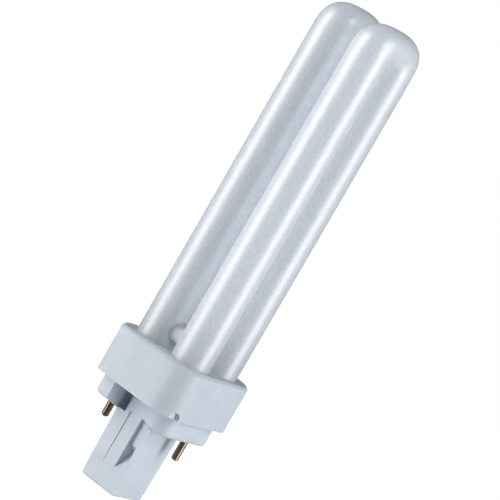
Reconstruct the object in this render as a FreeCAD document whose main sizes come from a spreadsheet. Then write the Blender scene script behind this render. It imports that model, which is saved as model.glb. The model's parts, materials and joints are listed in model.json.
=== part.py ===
"""Plug-in compact fluorescent lamp with two U-shaped glass tubes on a two-pin cap.

Lengths are millimetres. Z runs up along the lamp, from the cap to the tube bends. The
origin is the centre of the pin circle, on the face of the cap that meets the lampholder.
Each U lies in a plane of constant X, so its two legs stand apart along Y.
"""
import FreeCAD, Part
import math
import os

import Sketcher
from FreeCAD import Placement, Rotation, Vector

DIMENSIONS = [
    ("tube_diameter", 12.0, "outside diameter of each glass leg"),
    ("tube_wall", 1.0, "thickness of the glass"),
    ("gap_between_tubes", 2.0, "gap between the two U tubes, along X"),
    ("gap_between_legs", 2.4, "gap between the two legs of a U, along Y"),
    ("leg_offset_across", "=(tube_diameter + gap_between_tubes) / 2", "leg axis from the lamp axis along X"),
    ("leg_offset_along", "=(tube_diameter + gap_between_legs) / 2", "leg axis from the lamp axis along Y"),
    ("tube_top", 130.0, "top of the bends above the seating face"),
    ("bend_depth", 9.7, "glass from the crotch of a U to its top"),
    ("bend_squareness", 3.0, "power of the bend's outer curve: 2 is round, more is squarer"),
    ("leg_foot", 12.6, "closed lower end of the legs"),
    ("bridge_height", 25.3, "axis of the glass bridge between the two U tubes"),
    ("bridge_diameter", 6.0, "outside diameter of the glass bridge"),
    ("seal_width", 8.2, "width of the pressed seal under an electrode leg"),
    ("seal_thickness", 2.6, "thickness of the pressed seal"),
    ("seal_length", 2.0, "pressed seal below the leg's closed end"),
    ("exhaust_diameter", 3.4, "outside diameter of a tipped-off exhaust stem"),
    ("exhaust_length", 1.6, "exhaust stem below the leg's closed end"),
    ("wire_diameter", 0.5, "diameter of every lead wire"),
    ("electrode_spacing", 4.6, "distance between the two leads of an electrode"),
    ("electrode_height", 31.0, "axis of the electrode coils"),
    ("coil_diameter", 1.1, "outside diameter of an electrode coil"),
    ("coil_inset", 0.4, "lead wire above the axis of its coil"),
    ("collar_border_across", 2.7, "collar beyond the glass along X"),
    ("collar_border_along", 4.3, "collar beyond the glass along Y"),
    ("collar_width", "=2 * (leg_offset_across + collar_border_across) + tube_diameter", "collar along X"),
    ("collar_depth", "=2 * (leg_offset_along + collar_border_along) + tube_diameter", "collar along Y"),
    ("collar_bottom", 6.2, "lower edge of the collar, which is also the height of the pin bars"),
    ("collar_top", 20.9, "upper face of the collar"),
    ("collar_wall", 1.3, "thickness of the collar's skirt"),
    ("collar_plate", 1.6, "thickness of the collar's top"),
    ("collar_ledge", 0.8, "inward step of the skirt, on which the cap base stops"),
    ("collar_round", 7.0, "radius of the collar's upright corners"),
    ("collar_edge_cut", 0.7, "bevel of the collar's upper edge"),
    ("tube_hole_gap", 0.25, "gap round a leg where it enters the collar"),
    ("latch_width", 3.4, "width of the arched latch notch in the collar's lower edge"),
    ("latch_height", 2.2, "height of the arched latch notch"),
    ("latch_inset", 4.6, "middle of the latch notch from the collar's front or back"),
    ("latch_place", "=collar_depth / 2 - latch_inset", "latch notch from the lamp axis along Y"),
    ("latch_gap", 0.15, "gap between latch tooth and notch"),
    ("base_plate", 1.6, "thickness of the cap base's plate"),
    ("base_gap", 0.1, "gap between the cap base and the collar's skirt"),
    ("bar_width", 6.6, "pin bar along X, outwards from the post"),
    ("bar_inset", 2.15, "pin bar's outer face from the collar's side"),
    ("bar_short_inset", 6.4, "right bar's front end, and left bar's back end, from the collar's face"),
    ("bar_long_inset", 3.4, "right bar's back end, and left bar's front end, from the collar's face"),
    ("bar_short_end", "=collar_depth / 2 - bar_short_inset", "short end of a bar along Y"),
    ("bar_long_end", "=collar_depth / 2 - bar_long_inset", "long end of a bar along Y"),
    ("post_width", "=collar_width - 2 * (bar_width + bar_inset)", "post along X at the seating face"),
    ("post_depth", 14.4, "post along Y at the seating face"),
    ("post_length", 23.0, "post below the seating face"),
    ("post_draft", 0.9, "taper of each side of the post, in degrees"),
    ("post_tip_cut", 0.5, "bevel at the post's tip"),
    ("post_wall", 1.3, "thickness of the post's sides"),
    ("post_floor", 1.5, "thickness of the post's tip"),
    ("bar_round", 5.0, "radius of a bar's outer corners"),
    ("bar_edge_cut", 0.5, "bevel of a bar's lower edge"),
    ("bar_wall", 0.9, "thickness of a bar's sides"),
    ("bar_floor", 2.2, "thickness of a bar's floor, which holds the pin"),
    ("pocket_round", 0.8, "radius of the corners inside the cap"),
    ("key_width", 3.1, "width of the key recess beside the bar"),
    ("key_undercut", 0.4, "key recess beyond the post's side, into the bar"),
    ("key_end", 1.2, "key recess below the seating face"),
    ("keel_depth", 1.6, "keel under a bar's inner side, below the seating face"),
    ("recess_depth", 4.0, "depth of the key recess and of the latch recess at its deepest"),
    ("recess_wall", 0.8, "plastic behind the recesses"),
    ("catch_width", 3.4, "width of the latch recess"),
    ("catch_inset", 1.35, "latch recess from the post's side"),
    ("catch_left", "=post_width / 2 - catch_inset - catch_width", "near side of the latch recess along X"),
    ("catch_step", 1.5, "depth of the latch recess's upper run"),
    ("catch_step_end", 7.9, "end of the upper run below the seating face"),
    ("catch_deep", 9.9, "deepest point below the seating face"),
    ("catch_end", 16.4, "end of the latch recess below the seating face"),
    ("panel_width", "=2 * catch_left", "width of the shallow panel beside the latch recess"),
    ("panel_relief", 0.35, "depth of the shallow panel"),
    ("pin_inset", 2.347, "pin axis from the bar's outer face"),
    ("pin_across", "=collar_width / 2 - bar_inset - pin_inset", "pin axis from the lamp axis along X"),
    ("pin_along", 4.3, "pin axis from the lamp axis along Y"),
    ("pin_diameter", 2.2, "diameter of a contact pin"),
    ("pin_length", 6.5, "pin below the seating face"),
    ("pin_nose", 0.5, "bevel of the pin's tip"),
    ("pin_root_diameter", 2.4, "diameter of the pin inside the bar's floor"),
    ("pin_head_diameter", 2.8, "diameter of the pin's head"),
    ("pin_head_height", 0.5, "height of the pin's head"),
    ("fit_gap", 0.05, "gap of a piece that is held tight"),
    ("starter_diameter", 5.0, "diameter of the starter's glass bottle"),
    ("starter_length", 17.0, "length of the starter's glass bottle"),
    ("starter_lead_spacing", 2.4, "distance between the starter's leads"),
    ("wire_run", 8.7, "height of the wires that cross above the cap base"),
    ("pin_wire_run", 5.0, "height of the wires that run in the pin bars"),
    ("cement_depth", 4.4, "cement under the collar's top"),
]

doc = FreeCAD.newDocument("PlugInLamp")
sheet = doc.addObject("Spreadsheet::Sheet", "Sizes")
for row, (alias, number, meaning) in enumerate(DIMENSIONS, start=1):
    sheet.set(f"A{row}", alias)
    sheet.set(f"B{row}", str(number))
    sheet.set(f"C{row}", meaning)
    sheet.setAlias(f"B{row}", alias)
doc.recompute()

ORIGIN_POINT = (-1, 1)
UP = Vector(0, 0, 1)
BEND_STEPS = {"Glass": 10, "Bore": 4}
parts = []


def size(alias):
    """Value of one cell of the sheet."""
    return float(sheet.get(alias))


def bind(item, **expressions):
    """Tie properties of an object to expressions of the sheet's cells."""
    for name, expression in expressions.items():
        item.setExpression(name.replace("__", "."), expression)
    return item


def keep(item, label):
    """Name a finished sub-part; its label is also its file's name."""
    item.Label = label
    parts.append(item)
    return item


def new_body(name):
    return doc.addObject("PartDesign::Body", name)


def new_sketch(body, name, plane="XY_Plane", offset="0"):
    """Sketch on one of the body's origin planes, lifted along that plane's normal."""
    sketch = body.newObject("Sketcher::SketchObject", name)
    base = next(item for item in body.Origin.OriginFeatures if item.Role == plane)
    sketch.AttachmentSupport = [(base, "")]
    sketch.MapMode = "FlatFace"
    sketch.setExpression("AttachmentOffset.Base.z", offset)
    doc.recompute()
    return sketch


def measure(sketch, kind, *places, expression):
    """Add one driving constraint at its present value and tie it to the sheet."""
    index = sketch.addConstraint(Sketcher.Constraint(kind, *places, sketch_value(expression)))
    sketch.setExpression(f"Constraints[{index}]", expression)


def sketch_value(expression):
    """Present value of an expression, so that a sketch starts near its solution."""
    return float(sheet.evalExpression(expression))


def rounded_rectangle(sketch, left, right, front, back, rounds):
    """Rectangle from expressions for its four sides and for the radius of each corner.

    The corners run front-left, front-right, back-right, back-left. None is a sharp corner.
    """
    x0, x1, y0, y1 = (sketch_value(side) for side in (left, right, front, back))
    radii = [sketch_value(corner) if corner else 0.0 for corner in rounds]
    corners = [Vector(x0, y0), Vector(x1, y0), Vector(x1, y1), Vector(x0, y1)]
    headings = [Vector(1, 0), Vector(0, 1), Vector(-1, 0), Vector(0, -1)]
    lines = []
    for side, heading in enumerate(headings):
        start = corners[side] + heading * radii[side]
        end = corners[(side + 1) % 4] - heading * radii[(side + 1) % 4]
        lines.append(sketch.addGeometry(Part.LineSegment(start, end)))
        kind = "Horizontal" if side % 2 == 0 else "Vertical"
        sketch.addConstraint(Sketcher.Constraint(kind, lines[side]))
    for corner, (line, radius) in enumerate(zip(lines, radii)):
        before = lines[corner - 1]
        if not rounds[corner]:
            sketch.addConstraint(Sketcher.Constraint("Coincident", before, 2, line, 1))
            continue
        centre = corners[corner] + (headings[corner] - headings[corner - 1]) * radius
        begin = math.pi * (1 + corner / 2)
        curve = Part.ArcOfCircle(Part.Circle(centre, UP, radius), begin, begin + math.pi / 2)
        arc = sketch.addGeometry(curve)
        sketch.addConstraint(Sketcher.Constraint("Tangent", before, 2, arc, 1))
        sketch.addConstraint(Sketcher.Constraint("Tangent", arc, 2, line, 1))
        measure(sketch, "Radius", arc, expression=rounds[corner])
    place(sketch, "DistanceY", lines[0], 1, front)
    place(sketch, "DistanceX", lines[1], 1, right)
    place(sketch, "DistanceY", lines[2], 1, back)
    place(sketch, "DistanceX", lines[3], 1, left)


def place(sketch, kind, curve, point, expression):
    """Set one coordinate of a point, measured from the sketch's origin."""
    index = sketch.addConstraint(
        Sketcher.Constraint(kind, *ORIGIN_POINT, curve, point, sketch_value(expression)))
    sketch.setExpression(f"Constraints[{index}]", expression)


def circle(sketch, across, along, diameter):
    """Circle from expressions for its centre and its diameter."""
    centre = Vector(sketch_value(across), sketch_value(along))
    radius = sketch_value(diameter) / 2
    index = sketch.addGeometry(Part.Circle(centre, UP, radius))
    place(sketch, "DistanceX", index, 3, across)
    place(sketch, "DistanceY", index, 3, along)
    measure(sketch, "Diameter", index, expression=diameter)


def outline(sketch, corners):
    """Closed outline of straight lines through points given as pairs of expressions."""
    points = [Vector(sketch_value(x), sketch_value(y)) for x, y in corners]
    first = sketch.GeometryCount
    for start, end in zip(points, points[1:] + points[:1]):
        sketch.addGeometry(Part.LineSegment(start, end))
    count = len(points)
    for index in range(count):
        following = first + (index + 1) % count
        sketch.addConstraint(Sketcher.Constraint("Coincident", first + index, 2, following, 1))
    for index, (x, y) in enumerate(corners):
        place(sketch, "DistanceX", first + index, 1, x)
        place(sketch, "DistanceY", first + index, 1, y)


def feature(body, kind, name, sketch, reverse=False, **expressions):
    """Pad or pocket of a sketch, with its length tied to the sheet."""
    item = body.newObject(f"PartDesign::{kind}", name)
    item.Profile = sketch
    item.Reversed = reverse
    bind(item, **expressions)
    doc.recompute()
    return item


def opposite(body, name, originals):
    """Repeat features half a turn round the lamp's axis: the cap has this symmetry."""
    pattern = body.newObject("PartDesign::PolarPattern", name)
    pattern.Originals = originals
    axis = next(item for item in body.Origin.OriginFeatures if item.Role == "Z_Axis")
    pattern.Axis = (axis, [""])
    pattern.Angle = 360
    pattern.Occurrences = 2
    body.Tip = pattern
    doc.recompute()
    return pattern


def bevel_edges(body, name, base, chosen, expression):
    """Bevel the edges of a feature that a test picks out."""
    names = [f"Edge{i}" for i, edge in enumerate(base.Shape.Edges, start=1) if chosen(edge)]
    bevel = body.newObject("PartDesign::Chamfer", name)
    bevel.Base = (base, names)
    bind(bevel, Size=expression)
    doc.recompute()
    return bevel


def lies_at(edge, height, tolerance=1e-4):
    """True for an edge that lies flat at one height."""
    box = edge.BoundBox
    return abs(box.ZMin - height) < tolerance and abs(box.ZMax - height) < tolerance


def make_collar():
    """White upper shell: a skirt and a top with a hole for each leg."""
    body = new_body("Collar")
    corners = ["Sizes.collar_round"] * 4
    half_x, half_y = "Sizes.collar_width / 2", "Sizes.collar_depth / 2"
    skirt = new_sketch(body, "SkirtOutline", offset="Sizes.collar_bottom")
    rounded_rectangle(skirt, f"-{half_x}", half_x, f"-{half_y}", half_y, corners)
    block = feature(body, "Pad", "Skirt", skirt, Length="Sizes.collar_top - Sizes.collar_bottom")
    bevel_edges(body, "UpperEdge", block, lambda e: lies_at(e, size("collar_top")),
                "Sizes.collar_edge_cut")
    hollows = [
        ("Socket", "Sizes.collar_wall", "Sizes.base_plate"),
        ("Hollow", "(Sizes.collar_wall + Sizes.collar_ledge)",
         "Sizes.collar_top - Sizes.collar_bottom - Sizes.collar_plate"),
    ]
    for name, wall, depth in hollows:
        sketch = new_sketch(body, f"{name}Outline", offset="Sizes.collar_bottom")
        x, y = f"({half_x} - {wall})", f"({half_y} - {wall})"
        rounded_rectangle(sketch, f"-{x}", x, f"-{y}", y, [f"Sizes.collar_round - {wall}"] * 4)
        feature(body, "Pocket", name, sketch, reverse=True, Length=depth)
    holes = new_sketch(body, "TubeHoleCircles", offset="Sizes.collar_top")
    for across in (-1, 1):
        for along in (-1, 1):
            circle(holes, f"{across} * Sizes.leg_offset_across", f"{along} * Sizes.leg_offset_along",
                   "Sizes.tube_diameter + 2 * Sizes.tube_hole_gap")
    feature(body, "Pocket", "TubeHoles", holes, Length="Sizes.collar_plate")
    arch = latch_arch(body, "LatchNotchOutline", notch_start(), "0")
    notch = feature(body, "Pocket", "LatchNotch", arch, reverse=True,
                    Length="Sizes.collar_round / 2 + Sizes.collar_wall")
    opposite(body, "LatchNotches", [notch])
    return keep(body, "collar")


def notch_start():
    """Plane of constant X inside the rounded corner, from which a latch notch runs outwards."""
    return "Sizes.collar_width / 2 - Sizes.collar_round / 2"


def latch_arch(body, name, plane_offset, gap):
    """Arch on a plane of constant X: two upright sides under a top with cut corners."""
    sketch = new_sketch(body, name, plane="YZ_Plane", offset=plane_offset)
    half = f"(Sizes.latch_width / 2 - {gap})"
    near, far = f"-Sizes.latch_place - {half}", f"-Sizes.latch_place + {half}"
    foot = "Sizes.collar_bottom"
    top = f"Sizes.collar_bottom + Sizes.latch_height - {gap}"
    cut = "Sizes.latch_width / 4"
    outline(sketch, [
        (near, foot),
        (far, foot),
        (far, f"{top} - {cut}"),
        (f"{far} - {cut}", top),
        (f"{near} + {cut}", top),
        (near, f"{top} - {cut}"),
    ])
    return sketch


def make_cap_base():
    """White lower shell: plate, hollow post, two pin bars and their recesses."""
    body = new_body("CapBase")
    add_plate_post_and_bars(body)
    add_keels(body)
    add_hollows(body)
    add_key_recess(body)
    add_catch_recess(body)
    add_latch_teeth(body)
    return keep(body, "cap_base")


def add_plate_post_and_bars(body):
    """The solid outside form: plate, tapered post, its neck and the two bars."""
    inset = "(Sizes.collar_wall + Sizes.base_gap)"
    x, y = f"(Sizes.collar_width / 2 - {inset})", f"(Sizes.collar_depth / 2 - {inset})"
    plate = new_sketch(body, "PlateOutline", offset="Sizes.collar_bottom")
    rounded_rectangle(plate, f"-{x}", x, f"-{y}", y, [f"Sizes.collar_round - {inset}"] * 4)
    feature(body, "Pad", "Plate", plate, Length="Sizes.base_plate")
    half_x, half_y = "Sizes.post_width / 2", "Sizes.post_depth / 2"
    sharp = [None] * 4
    neck = new_sketch(body, "NeckOutline")
    rounded_rectangle(neck, f"-{half_x}", half_x, f"-{half_y}", half_y, sharp)
    feature(body, "Pad", "Neck", neck, Length="Sizes.collar_bottom")
    post = new_sketch(body, "PostOutline")
    rounded_rectangle(post, f"-{half_x}", half_x, f"-{half_y}", half_y, sharp)
    shaft = feature(body, "Pad", "Post", post, reverse=True, Length="Sizes.post_length",
                    TaperAngle="-Sizes.post_draft")
    bevel_edges(body, "PostTip", shaft, lambda e: lies_at(e, -size("post_length")),
                "Sizes.post_tip_cut")
    bar = new_sketch(body, "BarOutline")
    outer = "Sizes.bar_round"
    rounded_rectangle(bar, half_x, f"{half_x} + Sizes.bar_width", "-Sizes.bar_short_end",
                      "Sizes.bar_long_end", [None, outer, outer, None])
    block = feature(body, "Pad", "Bar", bar, Length="Sizes.collar_bottom")
    opposite(body, "Bars", [block])
    inner_face = size("post_width") / 2
    bevel_edges(body, "BarEdges", body.Tip,
                lambda e: lies_at(e, 0) and reach_across(e) > inner_face + size("fit_gap"),
                "Sizes.bar_edge_cut")


def add_keels(body):
    """Low keel under each bar's inner side: deepest beside the post, sloping to both ends."""
    keel = new_sketch(body, "KeelProfile", plane="YZ_Plane", offset="Sizes.post_width / 2")
    top = "Sizes.bar_floor / 2"
    front, back = "-(Sizes.bar_short_end - Sizes.bar_wall)", "(Sizes.bar_long_end - Sizes.bar_wall)"
    outline(keel, [
        (front, top),
        (front, "0"),
        ("-Sizes.post_depth / 2", "-Sizes.keel_depth"),
        ("Sizes.post_depth / 2", "-Sizes.keel_depth"),
        (back, "0"),
        (back, top),
    ])
    web = feature(body, "Pad", "Keel", keel, Length="Sizes.bar_wall")
    opposite(body, "Keels", [web])


def reach_across(edge):
    """Greatest distance of an edge from the lamp's axis along X."""
    return max(abs(edge.BoundBox.XMin), abs(edge.BoundBox.XMax))


def add_hollows(body):
    """Open the post and the bars from above, and pierce the bars for the pins."""
    plate_top = "Sizes.collar_bottom + Sizes.base_plate"
    corners = ["Sizes.pocket_round"] * 4
    x = "(Sizes.post_width / 2 - Sizes.post_wall)"
    y = "(Sizes.post_depth / 2 - Sizes.post_wall)"
    well = new_sketch(body, "PostWellOutline", offset=plate_top)
    rounded_rectangle(well, f"-{x}", x, f"-{y}", y, corners)
    feature(body, "Pocket", "PostWell", well,
            Length=f"{plate_top} + Sizes.post_length - Sizes.post_floor")
    inner = "Sizes.post_width / 2 + Sizes.bar_wall"
    outer = "Sizes.post_width / 2 + Sizes.bar_width - Sizes.bar_wall"
    turn = "Sizes.bar_round - Sizes.bar_wall"
    trough = new_sketch(body, "BarWellOutline", offset=plate_top)
    rounded_rectangle(trough, inner, outer, "-(Sizes.bar_short_end - Sizes.bar_wall)",
                      "Sizes.bar_long_end - Sizes.bar_wall", [None, turn, turn, None])
    well = feature(body, "Pocket", "BarWell", trough, Length=f"{plate_top} - Sizes.bar_floor")
    opposite(body, "BarWells", [well])
    drill = new_sketch(body, "PinHoleCircle", offset="Sizes.bar_floor")
    circle(drill, *pin_place(1), "Sizes.pin_root_diameter + 2 * Sizes.fit_gap")
    hole = feature(body, "Pocket", "PinHole", drill, Length="Sizes.bar_floor")
    opposite(body, "PinHoles", [hole])


def pin_place(side):
    """Centre of one pin as two expressions: the pins stand half a turn apart."""
    return f"{side} * Sizes.pin_across", f"{side} * Sizes.pin_along"


def add_recess_wall(body, name, left, right, top, bottom):
    """Block inside the post's front that leaves plastic behind a recess."""
    sketch = new_sketch(body, f"{name}Outline", offset=top)
    front = "-(Sizes.post_depth / 2 - Sizes.post_wall / 2)"
    back = "-(Sizes.post_depth / 2 - Sizes.recess_depth - Sizes.recess_wall)"
    outline(sketch, [(left, front), (right, front), (right, back), (left, back)])
    return feature(body, "Pad", name, sketch, reverse=True, Length=f"({top}) - ({bottom})")


def add_key_recess(body):
    """Upright recess beside each bar, from the plate to below the seating face."""
    left = "-Sizes.post_width / 2"
    undercut = f"{left} - Sizes.key_undercut"
    right = "-Sizes.post_width / 2 + Sizes.key_width"
    top = "Sizes.collar_bottom"
    wall = add_recess_wall(body, "KeyWall", f"{left} + Sizes.post_wall / 2",
                           f"{right} + Sizes.recess_wall", f"{top} + Sizes.base_plate",
                           "-Sizes.key_end - Sizes.recess_wall")
    sketch = new_sketch(body, "KeyOutline", offset=top)
    face = "-Sizes.post_depth / 2"
    front = f"{face} - Sizes.post_wall"
    back = f"{face} + Sizes.recess_depth"
    outline(sketch, [(left, front), (right, front), (right, back), (undercut, back),
                     (undercut, face), (left, face)])
    opposite(body, "KeyWalls", [wall])
    recess = feature(body, "Pocket", "KeyRecess", sketch, Length=f"{top} + Sizes.key_end")
    opposite(body, "KeyRecesses", [recess])


def add_catch_recess(body):
    """Latch recess of the post: a shallow run, a deep notch and a ramp back out."""
    left = "Sizes.catch_left"
    right = "Sizes.catch_left + Sizes.catch_width"
    wall = add_recess_wall(body, "CatchWall", f"{left} - Sizes.recess_wall",
                           f"{right} + Sizes.recess_wall", "0", "-Sizes.catch_end")
    opposite(body, "CatchWalls", [wall])
    face = "-Sizes.post_depth / 2"
    clear = f"{face} - Sizes.post_wall"
    sketch = new_sketch(body, "CatchProfile", plane="YZ_Plane", offset=left)
    outline(sketch, [
        (clear, "0"),
        (f"{face} + Sizes.catch_step", "0"),
        (f"{face} + Sizes.catch_step", "-Sizes.catch_step_end"),
        (f"{face} + Sizes.recess_depth", "-Sizes.catch_deep"),
        (face, "-Sizes.catch_end"),
        (clear, "-Sizes.catch_end"),
    ])
    catch = feature(body, "Pocket", "Catch", sketch, reverse=True, Length="Sizes.catch_width")
    opposite(body, "Catches", [catch])
    panel = new_sketch(body, "PanelOutline")
    outline(panel, [
        (f"{left} - Sizes.panel_width", clear),
        (left, clear),
        (left, f"{face} + Sizes.panel_relief"),
        (f"{left} - Sizes.panel_width", f"{face} + Sizes.panel_relief"),
    ])
    shallow = feature(body, "Pocket", "Panel", panel, Length="Sizes.catch_end")
    opposite(body, "Panels", [shallow])


def add_latch_teeth(body):
    """Teeth on the plate's edge that show in the collar's arched notches."""
    start = f"{notch_start()} + Sizes.base_gap"
    arch = latch_arch(body, "LatchToothOutline", start, "Sizes.latch_gap")
    tooth = feature(body, "Pad", "LatchTooth", arch,
                    Length="Sizes.collar_round / 2 - Sizes.collar_wall - 2 * Sizes.base_gap")
    opposite(body, "LatchTeeth", [tooth])


def make_contact_pin(side, label):
    """Brass pin: a bevelled nose, a thicker root and a head on the bar's floor."""
    body = new_body(label.title().replace("_", ""))
    profile = new_sketch(body, f"{body.Name}Profile", plane="XZ_Plane")
    outline(profile, [
        ("0", "-Sizes.pin_length"),
        ("Sizes.pin_diameter / 2", "-Sizes.pin_length"),
        ("Sizes.pin_diameter / 2", "0"),
        ("Sizes.pin_root_diameter / 2", "0"),
        ("Sizes.pin_root_diameter / 2", "Sizes.bar_floor"),
        ("Sizes.pin_head_diameter / 2", "Sizes.bar_floor"),
        ("Sizes.pin_head_diameter / 2", "Sizes.bar_floor + Sizes.pin_head_height"),
        ("0", "Sizes.bar_floor + Sizes.pin_head_height"),
    ])
    turned = body.newObject("PartDesign::Revolution", f"{body.Name}Turned")
    turned.Profile = profile
    turned.ReferenceAxis = (profile, ["V_Axis"])
    turned.Angle = 360
    doc.recompute()
    bevel_edges(body, f"{body.Name}Nose", turned, lambda e: lies_at(e, -size("pin_length")),
                "Sizes.pin_nose")
    across, along = pin_place(side)
    bind(body, Placement__Base__x=across, Placement__Base__y=along)
    return keep(body, label)


def bend_section(angle, inset):
    """Closed ring across a U's bend, on the fan plane that stands at one angle.

    The outer curve is a superellipse and the inner one a half circle about the crotch.
    """
    half_gap = size("gap_between_legs") / 2
    reach = half_gap + size("tube_diameter")
    rise = size("bend_depth") + half_gap
    power = size("bend_squareness")
    spread = (abs(math.cos(angle)) / reach) ** power + (abs(math.sin(angle)) / rise) ** power
    outer = spread ** (-1 / power) - inset
    inner = half_gap + inset
    middle, radial = (outer + inner) / 2, (outer - inner) / 2
    across = size("tube_diameter") / 2 - inset
    outward = Vector(0, math.cos(angle), math.sin(angle))
    centre = outward * middle + Vector(0, 0, bend_base())
    frame = FreeCAD.Matrix(0, across, 0, centre.x, outward.y * radial, 0, 0, centre.y,
                           outward.z * radial, 0, 1, centre.z, 0, 0, 0, 1)
    unit = Part.Circle(Vector(), UP, 1)
    halves = [Part.ArcOfCircle(unit, start, start + math.pi).toShape()
              for start in (math.pi / 2, 3 * math.pi / 2)]
    return Part.Wire([half.transformGeometry(frame) for half in halves])


def bend_base():
    """Height at which the straight legs end and the bend begins."""
    return size("tube_top") - size("bend_depth") - size("gap_between_legs") / 2


def make_bend(name, inset, side, steps):
    """Solid bend of one U, outside or inside of the glass, in so many straight steps."""
    count = round(steps)
    rings = [bend_section(math.pi * step / count, inset) for step in range(count + 1)]
    bend = doc.addObject("Part::Feature", name)
    bend.Shape = Part.makeLoft(rings, True, True)
    bend.Placement = Placement(Vector(side * size("leg_offset_across"), 0, 0), Rotation())
    return bend


def make_leg(name, inset, across, along):
    """One straight leg, closed flat at its foot, outside or inside of the glass."""
    tube = doc.addObject("Part::Cylinder", name)
    bind(tube, Radius=f"Sizes.tube_diameter / 2 - {inset}",
         Height="Sizes.tube_top - Sizes.bend_depth - Sizes.gap_between_legs / 2"
                f" - Sizes.leg_foot - {inset}",
         Placement__Base__x=f"{across} * Sizes.leg_offset_across",
         Placement__Base__y=f"{along} * Sizes.leg_offset_along",
         Placement__Base__z=f"Sizes.leg_foot + {inset}")
    return tube


def make_bridge(name, inset):
    """Short glass bridge along X between the two front legs."""
    bridge = doc.addObject("Part::Cylinder", name)
    bind(bridge, Radius=f"Sizes.bridge_diameter / 2 - {inset}",
         Height="2 * Sizes.leg_offset_across",
         Placement__Base__x="-Sizes.leg_offset_across",
         Placement__Base__y="-Sizes.leg_offset_along",
         Placement__Base__z="Sizes.bridge_height")
    bridge.Placement.Rotation = Rotation(Vector(0, 1, 0), 90)
    return bridge


def make_seal(name, side):
    """Pressed seal under an electrode leg: the glass is nipped flat round the leads."""
    seal = doc.addObject("Part::Box", name)
    bind(seal, Length="Sizes.seal_width", Width="Sizes.seal_thickness",
         Height="Sizes.seal_length + Sizes.tube_wall",
         Placement__Base__x=f"{side} * Sizes.leg_offset_across - Sizes.seal_width / 2",
         Placement__Base__y="Sizes.leg_offset_along - Sizes.seal_thickness / 2",
         Placement__Base__z="Sizes.leg_foot - Sizes.seal_length")
    return seal


def make_exhaust_stem(name, side):
    """Tipped-off stem under a front leg, through which the tube was filled."""
    stem = doc.addObject("Part::Cylinder", name)
    bind(stem, Radius="Sizes.exhaust_diameter / 2",
         Height="Sizes.exhaust_length + Sizes.tube_wall / 2",
         Placement__Base__x=f"{side} * Sizes.leg_offset_across",
         Placement__Base__y="-Sizes.leg_offset_along",
         Placement__Base__z="Sizes.leg_foot - Sizes.exhaust_length")
    return stem


def make_lead_bore(name, side, lead):
    """Bore in a pressed seal for one of its two lead wires."""
    bore = doc.addObject("Part::Cylinder", name)
    bind(bore, Radius="Sizes.wire_diameter / 2 + Sizes.fit_gap / 2",
         Height="2 * Sizes.tube_wall + Sizes.seal_length",
         Placement__Base__x=f"{side} * Sizes.leg_offset_across + {lead} * Sizes.electrode_spacing / 2",
         Placement__Base__y="Sizes.leg_offset_along",
         Placement__Base__z="Sizes.leg_foot - Sizes.seal_length")
    return bore


def make_discharge_tube():
    """The whole glass tube: two U bends and four legs, joined by the bridge, and hollow."""
    outside, inside = [], []
    walls = ((outside, "Glass", "0", 0), (inside, "Bore", "Sizes.tube_wall", size("tube_wall")))
    for shapes, prefix, inset, wall in walls:
        shapes.append(make_bridge(f"{prefix}Bridge", inset))
        for side in (-1, 1):
            hand = "Left" if side < 0 else "Right"
            shapes.append(make_bend(f"{prefix}Bend{hand}", wall, side, BEND_STEPS[prefix]))
            for along in (-1, 1):
                row = "Front" if along < 0 else "Back"
                shapes.append(make_leg(f"{prefix}Leg{hand}{row}", inset, side, along))
    for side in (-1, 1):
        hand = "Left" if side < 0 else "Right"
        outside.append(make_seal(f"Seal{hand}", side))
        outside.append(make_exhaust_stem(f"ExhaustStem{hand}", side))
        for lead in (-1, 1):
            inside.append(make_lead_bore(f"LeadBore{hand}{lead + 2}", side, lead))
    glass = doc.addObject("Part::MultiFuse", "GlassOutside")
    glass.Shapes = outside
    hollow = doc.addObject("Part::MultiFuse", "GlassInside")
    hollow.Shapes = inside
    tube = doc.addObject("Part::Cut", "DischargeTube")
    tube.Base = glass
    tube.Tool = hollow
    return keep(tube, "discharge_tube")


def make_wire(label, points):
    """Round wire along straight runs that meet in mitred corners."""
    heading = points[1] - points[0]
    ring = Part.Wire(Part.Circle(points[0], heading, size("wire_diameter") / 2).toShape())
    sweep = Part.BRepOffsetAPI.MakePipeShell(Part.makePolygon(points))
    mitred_corners = 1
    sweep.setTransitionMode(mitred_corners)
    sweep.add(ring)
    sweep.build()
    sweep.makeSolid()
    wire = doc.addObject("Part::Feature", label.title().replace("_", ""))
    wire.Shape = sweep.shape()
    return keep(wire, label)


def lead_top():
    """Upper end of the electrode leads, just above the coil that they hold."""
    return size("electrode_height") + size("coil_inset")


def make_pin_lead(side, label):
    """Outer lead of one electrode: through the seal and down a bar's well to its pin."""
    x = side * (size("leg_offset_across") + size("electrode_spacing") / 2)
    y = size("leg_offset_along")
    run = size("pin_wire_run")
    pin_x, pin_y = side * size("pin_across"), side * size("pin_along")
    end = size("bar_floor") + size("pin_head_height")
    return make_wire(label, [Vector(x, y, lead_top()), Vector(x, y, run),
                             Vector(pin_x, pin_y, run), Vector(pin_x, pin_y, end)])


def make_starter_lead(side, label):
    """Inner lead of one electrode: through the seal, across and down to the starter."""
    x = side * (size("leg_offset_across") - size("electrode_spacing") / 2)
    y = size("leg_offset_along")
    run = size("wire_run")
    starter_x = side * size("starter_lead_spacing") / 2
    end = size("post_floor") - size("post_length") + size("starter_length")
    return make_wire(label, [Vector(x, y, lead_top()), Vector(x, y, run),
                             Vector(starter_x, 0, run), Vector(starter_x, 0, end)])


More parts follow.
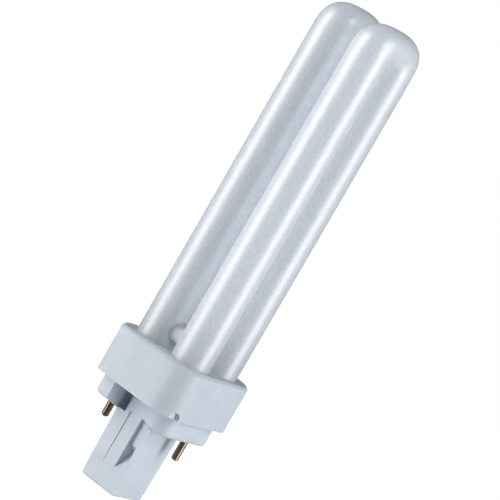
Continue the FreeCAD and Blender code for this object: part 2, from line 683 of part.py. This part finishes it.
def make_electrode_coil(side, label):
    """Tungsten coil between the two leads of an electrode, as its coated outside form."""
    coil = doc.addObject("Part::Cylinder", label.title().replace("_", ""))
    span = "(Sizes.electrode_spacing - Sizes.wire_diameter)"
    bind(coil, Radius="Sizes.coil_diameter / 2", Height=span,
         Placement__Base__x=f"{side} * Sizes.leg_offset_across - {span} / 2",
         Placement__Base__y="Sizes.leg_offset_along",
         Placement__Base__z="Sizes.electrode_height")
    coil.Placement.Rotation = Rotation(Vector(0, 1, 0), 90)
    return keep(coil, label)


def make_cement():
    """White cement that fills the collar round the legs, under its top."""
    body = new_body("TubeCement")
    inset = "(Sizes.collar_wall + Sizes.collar_ledge + Sizes.fit_gap)"
    x, y = f"(Sizes.collar_width / 2 - {inset})", f"(Sizes.collar_depth / 2 - {inset})"
    top = "Sizes.collar_top - Sizes.collar_plate - Sizes.fit_gap"
    sketch = new_sketch(body, "CementOutline", offset=top)
    corner = f"(Sizes.collar_round - {inset})"
    cut_x, cut_y = f"({x} - {corner})", f"({y} - {corner})"
    outline(sketch, [(f"-{cut_x}", f"-{y}"), (cut_x, f"-{y}"), (x, f"-{cut_y}"), (x, cut_y),
                     (cut_x, y), (f"-{cut_x}", y), (f"-{x}", cut_y), (f"-{x}", f"-{cut_y}")])
    feature(body, "Pad", "CementBlock", sketch, reverse=True, Length="Sizes.cement_depth")
    holes = new_sketch(body, "CementHoles", offset=top)
    for across in (-1, 1):
        for along in (-1, 1):
            circle(holes, f"{across} * Sizes.leg_offset_across", f"{along} * Sizes.leg_offset_along",
                   "Sizes.tube_diameter + 2 * Sizes.fit_gap")
    feature(body, "Pocket", "CementSockets", holes, Length="Sizes.cement_depth")
    return keep(body, "tube_cement")


def make_starter_bulb():
    """Sealed glow bottle of the starter, standing on the floor of the post."""
    bottle = doc.addObject("Part::Cylinder", "StarterBulb")
    bind(bottle, Radius="Sizes.starter_diameter / 2", Height="Sizes.starter_length",
         Placement__Base__z="Sizes.post_floor - Sizes.post_length")
    return keep(bottle, "starter_bulb")


def check_document():
    """Stop if any object failed to rebuild or a sub-part is not one sound solid."""
    for item in doc.Objects:
        if "Invalid" in item.State or "Error" in item.State:
            raise RuntimeError(f"{item.Name} did not rebuild: {item.State}")
    for part in parts:
        shape = part.Shape
        if shape.isNull() or not shape.isValid() or len(shape.Solids) != 1:
            raise RuntimeError(f"{part.Label} is not one sound solid")


def write_parts():
    """One file for each sub-part, named by its label."""
    os.makedirs("parts", exist_ok=True)
    for part in parts:
        part.Shape.exportStep(f"parts/{part.Label}.step")
        print(f"{part.Label}: {part.Shape.Volume:.1f} mm3")


make_discharge_tube()
for side, hand in ((-1, "left"), (1, "right")):
    make_electrode_coil(side, f"electrode_coil_{hand}")
    make_pin_lead(side, f"pin_lead_{hand}")
    make_starter_lead(side, f"starter_lead_{hand}")
    make_contact_pin(side, f"contact_pin_{hand}")
make_cement()
make_collar()
make_cap_base()
make_starter_bulb()
doc.recompute()
check_document()
write_parts()
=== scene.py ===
import json
from math import cos, pi, radians, sin

import bmesh
import bpy
import numpy as np
from mathutils import Matrix, Vector


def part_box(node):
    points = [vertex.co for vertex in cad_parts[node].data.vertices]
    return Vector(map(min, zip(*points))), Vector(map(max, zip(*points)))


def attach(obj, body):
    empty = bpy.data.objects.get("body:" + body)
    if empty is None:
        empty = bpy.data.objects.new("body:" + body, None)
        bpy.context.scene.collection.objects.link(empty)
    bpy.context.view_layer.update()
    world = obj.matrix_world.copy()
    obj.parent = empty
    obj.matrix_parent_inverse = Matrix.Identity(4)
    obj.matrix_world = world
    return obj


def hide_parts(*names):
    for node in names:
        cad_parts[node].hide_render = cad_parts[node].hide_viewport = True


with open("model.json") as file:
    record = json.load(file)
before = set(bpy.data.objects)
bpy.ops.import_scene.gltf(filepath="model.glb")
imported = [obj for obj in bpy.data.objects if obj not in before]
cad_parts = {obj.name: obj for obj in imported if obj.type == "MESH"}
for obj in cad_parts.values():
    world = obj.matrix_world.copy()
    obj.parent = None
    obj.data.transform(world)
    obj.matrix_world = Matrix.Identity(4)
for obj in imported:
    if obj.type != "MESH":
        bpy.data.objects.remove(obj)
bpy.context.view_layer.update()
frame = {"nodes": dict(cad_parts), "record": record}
mm = 0.001
mergeReach = 1e-7


# small makers for meshes and node trees

def newPiece(name, points, faces, smooth=True):
    mesh = bpy.data.meshes.new(name)
    mesh.from_pydata(points, [], faces)
    mesh.update()
    mesh.polygons.foreach_set("use_smooth", np.full(len(mesh.polygons), smooth))
    piece = bpy.data.objects.new(name, mesh)
    bpy.context.scene.collection.objects.link(piece)
    return piece


def gridFaces(rows, columns):
    # quads of a grid that closes round its columns: each joins two rows and two columns
    row, column = np.meshgrid(np.arange(rows - 1), np.arange(columns), indexing="ij")
    after = (column + 1) % columns
    quads = np.stack([row * columns + column, row * columns + after,
                      (row + 1) * columns + after, (row + 1) * columns + column], axis=-1)
    return quads.reshape(-1, 4)


def closedTube(rings):
    # rings is rows x columns x 3; a centre point closes each end with a fan
    rows, columns = rings.shape[:2]
    points = np.concatenate([rings.reshape(-1, 3), rings[:1].mean(axis=1), rings[-1:].mean(axis=1)])
    column = np.arange(columns)
    after = (column + 1) % columns
    first, last = rows * columns, rows * columns + 1
    low = np.stack([np.full(columns, first), after, column], axis=-1)
    lift = (rows - 1) * columns
    high = np.stack([np.full(columns, last), column + lift, after + lift], axis=-1)
    return points, [*gridFaces(rows, columns).tolist(), *low.tolist(), *high.tolist()]


def joined(parts):
    # several point and face lists as one
    points, faces, offset = [], [], 0
    for partPoints, partFaces in parts:
        points.append(partPoints)
        faces += [[index + offset for index in face] for face in partFaces]
        offset += len(partPoints)
    return np.concatenate(points), faces


def outwards(piece):
    # points every face away from the inside
    shape = bmesh.new()
    shape.from_mesh(piece.data)
    bmesh.ops.remove_doubles(shape, verts=shape.verts, dist=mergeReach)
    bmesh.ops.recalc_face_normals(shape, faces=shape.faces)
    shape.to_mesh(piece.data)
    shape.free()


def newMaterial(name):
    material = bpy.data.materials.new(name)
    material.use_nodes = True
    tree = material.node_tree
    shader = tree.nodes["Principled BSDF"]
    place = tree.nodes.new("ShaderNodeTexCoord")
    return material, tree, shader, place.outputs["Object"]


def addNode(tree, kind, **values):
    node = tree.nodes.new("ShaderNode" + kind)
    for key, value in values.items():
        if key in node.inputs:
            node.inputs[key].default_value = value
        else:
            setattr(node, key, value)
    return node


def noiseFactor(tree, place, scale, detail=2.0, stretch=(1, 1, 1)):
    # noise between 0 and 1, its scale per metre, drawn out along an axis by stretch
    mapping = addNode(tree, "Mapping", Scale=stretch)
    noise = addNode(tree, "TexNoise", Scale=scale, Detail=detail)
    tree.links.new(place, mapping.inputs["Vector"])
    tree.links.new(mapping.outputs["Vector"], noise.inputs["Vector"])
    return noise.outputs["Fac"]


def mathNode(tree, operation, first, second=0.0, third=0.0, clamp=False):
    node = tree.nodes.new("ShaderNodeMath")
    node.operation = operation
    node.use_clamp = clamp
    for socket, value in zip(node.inputs, (first, second, third)):
        if isinstance(value, (int, float)):
            socket.default_value = value
        else:
            tree.links.new(value, socket)
    return node.outputs[0]


def ramp(tree, factor, low, high, start=0.0, end=1.0):
    # colour that runs from low to high as the factor goes from start to end
    node = tree.nodes.new("ShaderNodeValToRGB")
    node.color_ramp.elements[0].position = start
    node.color_ramp.elements[1].position = end
    node.color_ramp.elements[0].color = (*low, 1)
    node.color_ramp.elements[1].color = (*high, 1)
    tree.links.new(factor, node.inputs["Fac"])
    return node.outputs["Color"]


def mixColours(tree, factor, first, second):
    node = tree.nodes.new("ShaderNodeMix")
    node.data_type = "RGBA"
    if isinstance(factor, (int, float)):
        node.inputs[0].default_value = factor
    else:
        tree.links.new(factor, node.inputs[0])
    for socket, value in ((node.inputs[6], first), (node.inputs[7], second)):
        if isinstance(value, tuple):
            socket.default_value = (*value, 1)
        else:
            tree.links.new(value, socket)
    return node.outputs[2]


def fadeBetween(tree, value, start, end, first, last):
    # smooth run from the first number to the last as the value goes from start to end
    node = addNode(tree, "MapRange", interpolation_type="SMOOTHSTEP")
    for index, number in enumerate((start, end, first, last), start=1):
        node.inputs[index].default_value = number
    tree.links.new(value, node.inputs[0])
    return node.outputs[0]


def mixShaders(tree, factor, first, second):
    node = addNode(tree, "MixShader")
    if isinstance(factor, (int, float)):
        node.inputs[0].default_value = factor
    else:
        tree.links.new(factor, node.inputs[0])
    tree.links.new(first.outputs[0], node.inputs[1])
    tree.links.new(second.outputs[0], node.inputs[2])
    return node


def addBump(tree, shader, height, strength, distance):
    bump = addNode(tree, "Bump", Strength=strength, Distance=distance)
    tree.links.new(height, bump.inputs["Height"])
    tree.links.new(bump.outputs["Normal"], shader.inputs["Normal"])
    return bump


# glass with its white coat

glassFinish = {
    "white": (0.872, 0.892, 0.918),
    "shade": (0.842, 0.865, 0.892),
    "streakScale": 260.0,
    "streakStretch": (1, 1, 0.05),
    "streakRange": (0.3, 0.7),
    "grainScale": 1150.0,
    "grainTint": (0.59, 0.64, 0.72),
    "grainStart": 0.4,
    "grainShare": 1.2,
    "grainBump": 0.4,
    "grainDepth": 0.05 * mm,
    "footTint": (0.72, 0.76, 0.78),
    "footFade": (19.0 * mm, 44.0 * mm),
    "footShare": 0.22,
    "bareTint": (0.82, 0.84, 0.82),
    "bareInside": 3.45 * mm,
    "bareOutside": 6.21 * mm,
    "bareShare": 0.5,
    "raggedScale": 500.0,
    "raggedReach": 2.0 * mm,
    "fusedDullness": 1.8,
    "roughness": 0.5,
    "throughLight": 0.48,
    "glossRoughness": 0.43,
    "glossIor": 2.6,
}


def coatColour(tree, place, grain, fused):
    # white coat with faint streaks and flecks, greyer towards the cap, and thinner at the fused patch
    look = glassFinish
    streaks = noiseFactor(tree, place, look["streakScale"], 2.0, look["streakStretch"])
    body = ramp(tree, streaks, look["shade"], look["white"], *look["streakRange"])
    raised = mathNode(tree, "SUBTRACT", grain, look["grainStart"], clamp=True)
    flecks = mathNode(tree, "MULTIPLY", raised, look["grainShare"])
    speckled = mixColours(tree, flecks, body, look["grainTint"])
    split = tree.nodes.new("ShaderNodeSeparateXYZ")
    tree.links.new(place, split.inputs[0])
    # the legs turn greyer towards the cap, from about 44 mm down to 19 mm above the lamp's base
    foot = fadeBetween(tree, split.outputs["Z"], *look["footFade"], 1.0, 0.0)
    greyedNearCap = mixColours(tree, mathNode(tree, "MULTIPLY", foot, look["footShare"]), speckled,
                         look["footTint"])
    return mixColours(tree, fused, greyedNearCap, look["bareTint"])


def fusedPatch(tree, place, centre):
    # ragged patch round the bridge, where the glass was opened and fused
    look = glassFinish
    apart = addNode(tree, "VectorMath", operation="DISTANCE")
    tree.links.new(place, apart.inputs[0])
    apart.inputs[1].default_value = centre
    noise = noiseFactor(tree, place, look["raggedScale"])
    distance = mathNode(tree, "ADD", apart.outputs["Value"],
                        mathNode(tree, "MULTIPLY", noise, look["raggedReach"]))
    return fadeBetween(tree, distance, look["bareInside"], look["bareOutside"], look["bareShare"], 0.0)


def makeGlassMaterial(bridgeCentre):
    look = glassFinish
    material, tree, shader, place = newMaterial("coatedGlass")
    grain = noiseFactor(tree, place, look["grainScale"], 3.0)
    fused = fusedPatch(tree, place, bridgeCentre)
    colour = coatColour(tree, place, grain, fused)
    tree.links.new(colour, shader.inputs["Base Color"])
    shader.inputs["Roughness"].default_value = look["roughness"]
    shader.inputs["Specular IOR Level"].default_value = 0.0
    bump = addBump(tree, shader, grain, look["grainBump"], look["grainDepth"])
    # part of the light goes through the coat, so a tube also glows from behind
    through = tree.nodes.new("ShaderNodeBsdfTranslucent")
    tree.links.new(colour, through.inputs["Color"])
    powder = mixShaders(tree, look["throughLight"], shader, through)
    # the glass over the coat mirrors more light the flatter it is seen, on its outside only
    gloss = addNode(tree, "BsdfGlossy", Roughness=look["glossRoughness"])
    edge = addNode(tree, "Fresnel", IOR=look["glossIor"])
    tree.links.new(bump.outputs["Normal"], gloss.inputs["Normal"])
    tree.links.new(bump.outputs["Normal"], edge.inputs["Normal"])
    side = tree.nodes.new("ShaderNodeNewGeometry")
    outside = mathNode(tree, "SUBTRACT", 1.0, side.outputs["Backfacing"])
    clean = mathNode(tree, "MULTIPLY_ADD", fused, -look["fusedDullness"], 1.0)
    mirrored = mathNode(tree, "MULTIPLY", mathNode(tree, "MULTIPLY", edge.outputs[0], outside), clean)
    glazed = mixShaders(tree, mirrored, powder, gloss)
    tree.links.new(glazed.outputs[0], tree.nodes["Material Output"].inputs["Surface"])
    return material


# white moulded plastic of the cap

plasticFinish = {
    "light": (0.645, 0.705, 0.77),
    "dark": (0.605, 0.665, 0.73),
    "roughness": 0.48,
    "mottleScale": 160.0,
    "mottleRange": (0.35, 0.65),
    "glowShare": 0.15,
    "glowRadius": (1.0, 1.0, 1.1),
    "glowScale": 1.2 * mm,
    "textureScale": 1400.0,
    "textureBump": 0.12,
    "textureDepth": 0.05 * mm,
}


def makePlasticMaterial():
    look = plasticFinish
    material, tree, shader, place = newMaterial("capPlastic")
    mottle = noiseFactor(tree, place, look["mottleScale"], 3.0)
    tree.links.new(ramp(tree, mottle, look["dark"], look["light"], *look["mottleRange"]),
                   shader.inputs["Base Color"])
    shader.inputs["Roughness"].default_value = look["roughness"]
    shader.inputs["Subsurface Weight"].default_value = look["glowShare"]
    shader.inputs["Subsurface Radius"].default_value = look["glowRadius"]
    shader.inputs["Subsurface Scale"].default_value = look["glowScale"]
    fine = noiseFactor(tree, place, look["textureScale"], 3.0)
    addBump(tree, shader, fine, look["textureBump"], look["textureDepth"])
    return material


# metals, cement and clear glass of the smaller pieces

# each metal: its bright and dull colour, roughness, scale of the wear and how it is drawn out
metalFinish = {
    "drawnBrass": ((0.42, 0.32, 0.20), (0.13, 0.10, 0.075), 0.2, 220.0, (1, 1, 0.1)),
    "woundTungsten": ((0.60, 0.59, 0.55), (0.30, 0.30, 0.28), 0.45, 2400.0, (1, 0.1, 0.1)),
    "nickelWire": ((0.66, 0.64, 0.60), (0.45, 0.43, 0.40), 0.3, 300.0, (1, 1, 0.1)),
}
metalWear = {
    "range": (0.3, 0.7),
    "addedRoughness": 0.15,
    "bump": 0.08,
    "depth": 0.03 * mm,
}


def makeMetalMaterial(name):
    look = metalWear
    bright, dull, roughness, scale, stretch = metalFinish[name]
    material, tree, shader, place = newMaterial(name)
    wear = noiseFactor(tree, place, scale, 4.0, stretch)
    tree.links.new(ramp(tree, wear, dull, bright, *look["range"]), shader.inputs["Base Color"])
    shader.inputs["Metallic"].default_value = 1.0
    tree.links.new(mathNode(tree, "MULTIPLY_ADD", wear, look["addedRoughness"], roughness),
                   shader.inputs["Roughness"])
    addBump(tree, shader, wear, look["bump"], look["depth"])
    return material


cementFinish = {
    "light": (0.74, 0.73, 0.70),
    "dark": (0.62, 0.61, 0.58),
    "range": (0.3, 0.7),
    "grainScale": 420.0,
    "roughness": 0.9,
    "bump": 0.5,
    "depth": 0.1 * mm,
}


def makeCementMaterial():
    look = cementFinish
    material, tree, shader, place = newMaterial("whiteCement")
    grain = noiseFactor(tree, place, look["grainScale"], 5.0)
    tree.links.new(ramp(tree, grain, look["dark"], look["light"], *look["range"]),
                   shader.inputs["Base Color"])
    shader.inputs["Roughness"].default_value = look["roughness"]
    addBump(tree, shader, grain, look["bump"], look["depth"])
    return material


clearFinish = {
    "tint": ((0.86, 0.92, 0.90), (0.95, 0.97, 0.97)),
    "tintScale": 300.0,
    "roughness": 0.04,
    "throughLight": 0.9,
    "ior": 1.5,
}


def makeClearGlassMaterial():
    look = clearFinish
    material, tree, shader, place = newMaterial("clearGlass")
    tint = ramp(tree, noiseFactor(tree, place, look["tintScale"]), *look["tint"])
    tree.links.new(tint, shader.inputs["Base Color"])
    shader.inputs["Roughness"].default_value = look["roughness"]
    shader.inputs["Transmission Weight"].default_value = look["throughLight"]
    shader.inputs["IOR"].default_value = look["ior"]
    return material


# the discharge tube: two U tubes and the bridge between them

tubeForm = {
    "diameter": 12.0 * mm,
    "bendDepth": 9.7 * mm,
    "squareness": 3.0,
    "foot": 12.6 * mm,
    "footDome": 2.6 * mm,
    "footStart": 0.06,
    "bridgeHeight": 25.8 * mm,
    "bridgeRadius": 2.6 * mm,
    "bridgeFlare": 3.7 * mm,
    "bridgeSink": 0.15 * mm,
    "sealWidth": 8.2 * mm,
    "sealThickness": 2.6 * mm,
    "sealLength": 2.0 * mm,
    "sealPower": 0.4,
    "sealTaper": 0.94,
    "stemRadius": 1.7 * mm,
    "stemLength": 1.6 * mm,
    "stemStart": 0.08,
    "around": 96,
    "domeRings": 14,
    "legRings": 60,
    "bendRings": 61,
    "bridgeRings": 33,
    "sealRings": 9,
    "stemRings": 10,
}


def tubePlaces():
    # leg axes and top of the bends, from the box of the solid that this piece stands for
    low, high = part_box("discharge_tube")
    radius = tubeForm["diameter"] / 2
    return (high.x - low.x) / 2 - radius, (high.y - low.y) / 2 - radius, high.z


def ringStack(centre, reach, radial, width):
    # ellipses across a path: centre + radial * cos(v) along reach + width * sin(v) along x
    v = np.linspace(0, 2 * pi, tubeForm["around"], endpoint=False)
    alongReach = (radial[:, None] * np.cos(v))[..., None] * reach[:, None, :]
    alongX = (width[:, None] * np.sin(v))[..., None] * np.array([1.0, 0.0, 0.0])
    return centre[:, None, :] + alongReach + alongX


def uTube(across, along, top):
    # one U: domed foot, leg, squared bend, leg and domed foot, as one run of ellipses.
    # The bend's outside is a superellipse about the crotch, and its inside a half circle
    form = tubeForm
    radius = form["diameter"] / 2
    halfGap = along - radius
    base = top - form["bendDepth"] - halfGap
    dome = np.linspace(form["footStart"], pi / 2, form["domeRings"])[:-1]
    rise = np.linspace(0, 1, form["legRings"])[:-1]
    turn = np.linspace(0, pi, form["bendRings"])
    shoulder = form["foot"] + form["footDome"]
    heights = np.concatenate([shoulder - form["footDome"] * np.cos(dome),
                              shoulder + (base - shoulder) * rise])
    widths = np.concatenate([radius * np.sin(dome), np.full(len(rise), radius)])
    zero = np.zeros(len(heights))
    legCentre = np.stack([zero, zero + along, heights], axis=-1)
    legReach = np.stack([zero, zero + 1, zero], axis=-1)
    spread = ((np.abs(np.cos(turn)) / (along + radius)) ** form["squareness"]
              + (np.sin(turn) / (form["bendDepth"] + halfGap)) ** form["squareness"])
    outer = spread ** (-1 / form["squareness"])
    middle, radial = (outer + halfGap) / 2, (outer - halfGap) / 2
    bendReach = np.stack([turn * 0, np.cos(turn), np.sin(turn)], axis=-1)
    bendCentre = bendReach * middle[:, None] + np.array([0, 0, base])
    rings = np.concatenate([
        ringStack(legCentre, legReach, widths, widths),
        ringStack(bendCentre, bendReach, radial, np.full(len(turn), radius)),
        ringStack(legCentre[::-1] * [1, -1, 1], legReach[::-1] * -1, widths[::-1], widths[::-1]),
    ])
    return closedTube(rings + np.array([across, 0, 0]))


def bridgeTube(across, along):
    # saddle between two legs: its radius grows from the middle by a share 1 - cos w of the
    # flare, while it runs out to each leg's surface as sin w
    form = tubeForm
    v = np.linspace(0, 2 * pi, form["around"], endpoint=False)
    w = np.linspace(-pi / 2, pi / 2, form["bridgeRings"])
    radius = form["bridgeRadius"] + (form["bridgeFlare"] - form["bridgeRadius"]) * (1 - np.cos(w))
    legRadius = form["diameter"] / 2
    edge = form["bridgeFlare"] * np.cos(v)
    reach = across - np.sqrt(legRadius ** 2 - edge ** 2) + form["bridgeSink"]
    x = np.sin(w)[:, None] * reach[None, :]
    y = -along + radius[:, None] * np.cos(v)[None, :]
    z = form["bridgeHeight"] + radius[:, None] * np.sin(v)[None, :]
    return closedTube(np.stack([x, y, z], axis=-1))


def pressedSeal(across, along):
    # flat pressed end under an electrode leg: rounded slab, a superellipse in plan
    form = tubeForm
    v = np.linspace(0, 2 * pi, form["around"], endpoint=False)
    heights = np.linspace(form["foot"] - form["sealLength"], form["foot"] + form["footDome"],
                          form["sealRings"])
    power = form["sealPower"]
    shape = np.stack([np.sign(np.cos(v)) * np.abs(np.cos(v)) ** power * form["sealWidth"] / 2,
                      np.sign(np.sin(v)) * np.abs(np.sin(v)) ** power * form["sealThickness"] / 2], -1)
    taper = np.linspace(form["sealTaper"], 1.0, len(heights))[:, None, None]
    plan = shape[None] * taper + np.array([across, along])
    z = np.broadcast_to(heights[:, None, None], (len(heights), len(v), 1))
    return closedTube(np.concatenate([plan, z], axis=-1))


def exhaustStem(across, along):
    # tipped-off stem under a front leg, rounded at its end
    form = tubeForm
    v = np.linspace(0, 2 * pi, form["around"], endpoint=False)
    turn = np.linspace(form["stemStart"], pi / 2, form["stemRings"])
    radius = form["stemRadius"]
    low = form["foot"] - form["stemLength"] + radius
    heights = np.concatenate([low - radius * np.cos(turn), [form["foot"] + form["footDome"]]])
    radii = np.concatenate([radius * np.sin(turn), [radius]])
    x = across + radii[:, None] * np.cos(v)
    y = -along + radii[:, None] * np.sin(v)
    z = np.broadcast_to(heights[:, None], x.shape)
    return closedTube(np.stack([x, y, z], axis=-1))


def makeDischargeTube():
    across, along, top = tubePlaces()
    parts = [bridgeTube(across, along)]
    for side in (-1, 1):
        parts += [uTube(side * across, along, top), pressedSeal(side * across, along),
                  exhaustStem(side * across, along)]
    points, faces = joined(parts)
    piece = newPiece("twinTubeGlass", points, faces)
    outwards(piece)
    centre = Vector((0, -along, tubeForm["bridgeHeight"]))
    piece.data.materials.append(makeGlassMaterial(centre))
    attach(piece, "root")
    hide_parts("discharge_tube")
    print("glass tube made")


# cap shells and pins: the solids' own faces, merged and smoothed, the shells also softened at their
# edges

shellForm = {
    "smoothAngle": 32,
    "edgeSoftness": 0.14 * mm,
    "edgeSegments": 3,
    "bevelAngle": 40,
    "flatAngle": 1,
    "mergeReach": 1e-6,
}


def softenedCopy(node, name, material, softness):
    source = frame["nodes"][node]
    piece = bpy.data.objects.new(name, source.data.copy())
    bpy.context.scene.collection.objects.link(piece)
    shape = bmesh.new()
    shape.from_mesh(piece.data)
    bmesh.ops.remove_doubles(shape, verts=shape.verts, dist=shellForm["mergeReach"])
    bmesh.ops.dissolve_limit(shape, angle_limit=radians(shellForm["flatAngle"]),
                             verts=shape.verts, edges=shape.edges)
    for face in shape.faces:
        face.smooth = True
    for edge in shape.edges:
        edge.smooth = edge.calc_face_angle(0) < radians(shellForm["smoothAngle"])
    shape.to_mesh(piece.data)
    shape.free()
    if softness:
        bevel = piece.modifiers.new("softEdges", "BEVEL")
        bevel.width = softness
        bevel.segments = shellForm["edgeSegments"]
        bevel.limit_method = "ANGLE"
        bevel.angle_limit = radians(shellForm["bevelAngle"])
        bevel.harden_normals = True
    piece.data.materials.clear()
    piece.data.materials.append(material)
    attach(piece, "root")
    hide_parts(node)
    return piece


def makeCap(plastic, brass):
    soft = shellForm["edgeSoftness"]
    softenedCopy("collar", "collarShell", plastic, soft)
    softenedCopy("cap_base", "postAndBars", plastic, soft)
    for hand in ("left", "right"):
        softenedCopy(f"contact_pin_{hand}", f"brassPin{hand.title()}", brass, 0)
    print("cap made")


def dressNodes(materials):
    # every solid takes the finish of its slot; those with a piece in their place aren't seen
    slots = {entry["node"]: entry["material_slot"] for entry in frame["record"]["subparts"]}
    for name, node in frame["nodes"].items():
        node.data.materials.clear()
        node.data.materials.append(materials[slots[name]])
    print("solids finished")


# the photograph's camera, studio and background

cameraForm = {
    "azimuth": 33.0,
    "elevation": 6.4,
    "distance": 775 * mm,
    "aim": Vector((0.52, 0.34, 55.8)) * mm,
    "focalPixels": 2755,
    "imagePixels": 500,
    "sensorWidth": 36,
    "nearest": 0.01,
    "farthest": 100,
    "lean": 30.07,
}


def makeCamera():
    form = cameraForm
    azimuth, elevation = radians(form["azimuth"]), radians(form["elevation"])
    back = Vector((sin(azimuth) * cos(elevation), -cos(azimuth) * cos(elevation), sin(elevation)))
    level = Vector((cos(azimuth), sin(azimuth), 0))
    upright = back.cross(level)
    lean = radians(form["lean"])
    across = level * cos(lean) + upright * sin(lean)
    up = back.cross(across)
    data = bpy.data.cameras.new("photoCamera")
    data.sensor_width = form["sensorWidth"]
    data.lens = form["focalPixels"] / form["imagePixels"] * form["sensorWidth"]
    data.clip_start = form["nearest"]
    data.clip_end = form["farthest"]
    camera = bpy.data.objects.new("photoCamera", data)
    bpy.context.scene.collection.objects.link(camera)
    turn = Matrix((across, up, back)).transposed()
    camera.matrix_world = Matrix.Translation(form["aim"] + back * form["distance"]) @ turn.to_4x4()
    bpy.context.scene.camera = camera
    return back


# each light: bearing from the camera, height, distance, width, length and power. All are aimed
# at one point on the lamp's axis
lightAim = Vector((0, 0, 0.05))
lightForm = {
    "stripLeft": (-72, 0.20, 0.9, 0.58, 1.3, 9.6),
    "boxRight": (70, 0.20, 0.9, 0.50, 1.3, 8.9),
    "frontFill": (-12, 0.70, 1.5, 1.20, 1.2, 0.4),
}
studioForm = {
    "fillFront": (0.09, 0.1, 0.115),
    "fillBehind": (0.07, 0.076, 0.084),
    "fillRange": (0.3, 0.7),
    "floorHeight": -0.3,
    "floorSize": 12.0,
    "floorTint": ((0.80, 0.81, 0.82), (0.86, 0.86, 0.86)),
    "floorMottle": 3.0,
    "floorRoughness": 0.9,
    "floorGlow": 0.94,
}


def makeLights():
    for name, (bearing, height, distance, width, length, power) in lightForm.items():
        angle = radians(cameraForm["azimuth"] + bearing)
        spot = Vector((sin(angle) * distance, -cos(angle) * distance, height))
        data = bpy.data.lights.new(name, "AREA")
        data.shape = "RECTANGLE"
        data.size = width
        data.size_y = length
        data.energy = power
        light = bpy.data.objects.new(name, data)
        light.location = spot
        light.rotation_mode = "QUATERNION"
        light.rotation_quaternion = (spot - lightAim).to_track_quat("Z", "Y")
        light.visible_camera = False
        bpy.context.scene.collection.objects.link(light)


def seenDirectly(tree):
    # 1 for what the camera sees, also through clear glass, and 0 for light on the lamp
    path = addNode(tree, "LightPath")
    return mathNode(tree, "ADD", path.outputs["Is Camera Ray"], path.outputs["Is Transmission Ray"],
                    clamp=True)


def makeWorld(back):
    world = bpy.data.worlds.new("studio")
    bpy.context.scene.world = world
    world.use_nodes = True
    tree = world.node_tree
    tree.nodes.clear()
    # the room is lighter on the camera's side than behind the lamp
    direction = addNode(tree, "TexCoord")
    facing = addNode(tree, "VectorMath", operation="DOT_PRODUCT")
    tree.links.new(direction.outputs["Generated"], facing.inputs[0])
    facing.inputs[1].default_value = back
    room = ramp(tree, mathNode(tree, "MULTIPLY_ADD", facing.outputs["Value"], 0.5, 0.5),
                studioForm["fillBehind"], studioForm["fillFront"], *studioForm["fillRange"])
    colour = mixColours(tree, seenDirectly(tree), room, (1.0, 1.0, 1.0))
    background = addNode(tree, "Background", Strength=1.0)
    output = tree.nodes.new("ShaderNodeOutputWorld")
    tree.links.new(colour, background.inputs["Color"])
    tree.links.new(background.outputs[0], output.inputs[0])


def makeStudio(back):
    makeWorld(back)
    half, low = studioForm["floorSize"] / 2, studioForm["floorHeight"]
    corners = [(-half, -half, low), (half, -half, low), (half, half, low), (-half, half, low)]
    floor = newPiece("studioFloor", corners, [(0, 1, 2, 3)], smooth=False)
    floor.data.materials.append(makeFloorMaterial())
    bpy.context.scene.view_settings.view_transform = "Standard"
    print("studio made")


def makeFloorMaterial():
    material, tree, shader, place = newMaterial("paleFloor")
    tint = ramp(tree, noiseFactor(tree, place, studioForm["floorMottle"]), *studioForm["floorTint"])
    tree.links.new(tint, shader.inputs["Base Color"])
    shader.inputs["Roughness"].default_value = studioForm["floorRoughness"]
    glow = addNode(tree, "Emission", Color=(1, 1, 1, 1))
    shine = mathNode(tree, "MULTIPLY", seenDirectly(tree), studioForm["floorGlow"])
    tree.links.new(shine, glow.inputs["Strength"])
    both = tree.nodes.new("ShaderNodeAddShader")
    tree.links.new(shader.outputs[0], both.inputs[0])
    tree.links.new(glow.outputs[0], both.inputs[1])
    tree.links.new(both.outputs[0], tree.nodes["Material Output"].inputs["Surface"])
    return material


# the finish of each slot. The glass tube has a material of its own, so the solid that it
# replaces, which isn't seen, takes the plastic's
plastic = makePlasticMaterial()
brass = makeMetalMaterial("drawnBrass")
dressNodes({
    "cap_plastic": plastic,
    "brass": brass,
    "coated_glass": plastic,
    "clear_glass": makeClearGlassMaterial(),
    "tungsten": makeMetalMaterial("woundTungsten"),
    "lead_wire": makeMetalMaterial("nickelWire"),
    "cement": makeCementMaterial(),
})
makeDischargeTube()
makeCap(plastic, brass)
towardsCamera = makeCamera()
makeLights()
makeStudio(towardsCamera)
